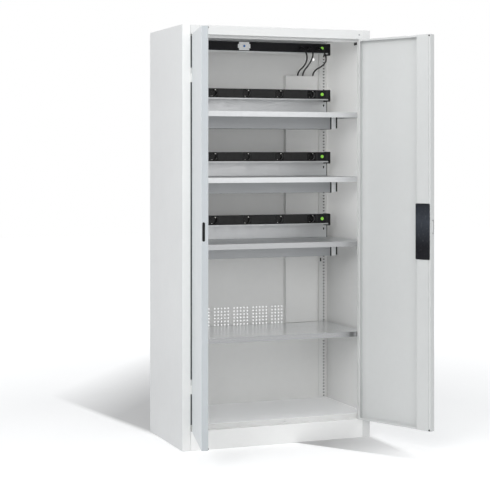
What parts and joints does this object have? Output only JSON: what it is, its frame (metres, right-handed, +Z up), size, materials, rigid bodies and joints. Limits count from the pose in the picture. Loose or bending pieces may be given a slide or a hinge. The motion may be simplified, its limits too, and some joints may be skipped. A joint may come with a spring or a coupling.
{
  "type": "battery charging cabinet",
  "caption": "Tall steel cabinet with hinged double doors, shelves and switched socket strips for charging tool batteries, with a latch and rod lock.",
  "frame": {"origin": "on the floor, under the middle of the cabinet body (doors not counted)", "axes": "+Z up, -Y towards the open front, +X to the right as seen from the front"},
  "size_m": [1.1428, 0.9299, 1.95],
  "materials": {
    "body_paint": "smooth light powder coat",
    "door_paint": "smooth light powder coat",
    "zinc_sheet": "galvanised, soft sheen",
    "zinc_bracket": "galvanised, soft sheen",
    "grey_sheet": "satin light grey",
    "strip_black": "satin black",
    "socket_black": "semi-gloss black",
    "switch_green": "translucent green, lit",
    "module_white": "satin white",
    "button_blue": "gloss blue",
    "clip_steel": "bright plated spring steel",
    "cable_black": "matte black sheath",
    "plug_black": "satin black",
    "buffer_rubber": "matte black",
    "rod_steel": "bright zinc plated",
    "lock_zinc": "satin die-cast case",
    "handle_metal": "satin chrome"
  },
  "bodies": {
    "cabinet": {"left_side": "body_paint", "right_side": "body_paint", "roof": "body_paint", "rear_wall": "body_paint", "floor": "body_paint", "plinth": "body_paint", "rear_supports": "body_paint", "front_supports": "body_paint", "body_hinges": "body_paint", "hinge_pins": "rod_steel", "shelf_1": "zinc_sheet", "shelf_2": "zinc_sheet", "shelf_3": "zinc_sheet", "shelf_4": "zinc_sheet", "shelf_hooks": "zinc_bracket", "carrier_1": "zinc_sheet", "carrier_2": "zinc_sheet", "carrier_3": "zinc_sheet", "carrier_top": "zinc_sheet", "strip_1": "strip_black", "strip_2": "strip_black", "strip_3": "strip_black", "strip_4": "strip_black", "strip_caps": "strip_black", "sockets": "socket_black", "earth_clips": "clip_steel", "protection_module": "module_white", "troughs": "grey_sheet", "trough_ends": "plug_black", "trough_hangers": "zinc_bracket", "cable_duct": "body_paint", "duct_entry": "plug_black", "cable_glands": "strip_black", "cable_1": "cable_black", "cable_2": "cable_black", "cable_3": "cable_black", "blanking_plugs": "plug_black"},
    "left_leaf": {"left_door": "door_paint", "left_stiffener": "door_paint", "left_door_hinges": "door_paint", "left_buffers": "buffer_rubber"},
    "right_leaf": {"right_door": "door_paint", "right_stiffener": "door_paint", "right_door_hinges": "door_paint", "right_buffers": "buffer_rubber", "lock_case": "lock_zinc", "rod_guides": "plug_black", "lock_cover": "plug_black", "handle_plate": "handle_metal"},
    "lever": {"handle": "handle_metal"},
    "cylinder": {"lock_cylinder": "handle_metal"},
    "latch_bar": {"latch": "rod_steel"},
    "rod_up": {"upper_rod": "rod_steel"},
    "rod_down": {"lower_rod": "rod_steel"},
    "switch_body_1": {"switch_1": "switch_green"},
    "switch_body_2": {"switch_2": "switch_green"},
    "switch_body_3": {"switch_3": "switch_green"},
    "switch_body_4": {"switch_4": "switch_green"},
    "test_body": {"test_button": "button_blue"}
  },
  "joints": [
    {"name": "left_door", "type": "hinge", "parent": "cabinet", "child": "left_leaf", "pos_m": [-0.433, -0.253, 0], "axis": [0, 0, -1], "range_deg": [-103.5, 74.5]},
    {"name": "right_door", "type": "hinge", "parent": "cabinet", "child": "right_leaf", "pos_m": [0.433, -0.253, 0], "axis": [0, 0, 1], "range_deg": [-114, 64]},
    {"name": "handle", "type": "hinge", "parent": "right_leaf", "child": "lever", "pos_m": [0.58746, -0.60731, 1.025], "axis": [-0.9135, -0.4067, 0], "range_deg": [0, 90]},
    {"name": "lock_cylinder", "type": "hinge", "parent": "right_leaf", "child": "cylinder", "pos_m": [0.58746, -0.60731, 1.087], "axis": [-0.9135, -0.4067, 0], "range_deg": [0, 90]},
    {"name": "latch", "type": "slide", "parent": "right_leaf", "child": "latch_bar", "axis": [0.4067, -0.9135, 0], "range_m": [0, 0.013]},
    {"name": "upper_rod", "type": "slide", "parent": "right_leaf", "child": "rod_up", "axis": [0, 0, 1], "range_m": [0, 0.016]},
    {"name": "lower_rod", "type": "slide", "parent": "right_leaf", "child": "rod_down", "axis": [0, 0, -1], "range_m": [0, 0.016]},
    {"name": "switch_1", "type": "slide", "parent": "cabinet", "child": "switch_body_1", "axis": [0, 1, 0], "range_m": [0, 0.0025], "stiffness_N_per_m": 400},
    {"name": "switch_2", "type": "slide", "parent": "cabinet", "child": "switch_body_2", "axis": [0, 1, 0], "range_m": [0, 0.0025], "stiffness_N_per_m": 400},
    {"name": "switch_3", "type": "slide", "parent": "cabinet", "child": "switch_body_3", "axis": [0, 1, 0], "range_m": [0, 0.0025], "stiffness_N_per_m": 400},
    {"name": "switch_4", "type": "slide", "parent": "cabinet", "child": "switch_body_4", "axis": [0, 1, 0], "range_m": [0, 0.0025], "stiffness_N_per_m": 400},
    {"name": "test_button", "type": "slide", "parent": "cabinet", "child": "test_body", "axis": [0, 1, 0], "range_m": [0, 0.0015], "stiffness_N_per_m": 400}
  ],
  "couplings": [
    {"joint": "latch", "follows": "handle", "m_per_rad": 0.0082761},
    {"joint": "upper_rod", "follows": "handle", "m_per_rad": 0.010186},
    {"joint": "lower_rod", "follows": "handle", "m_per_rad": 0.010186}
  ]
}
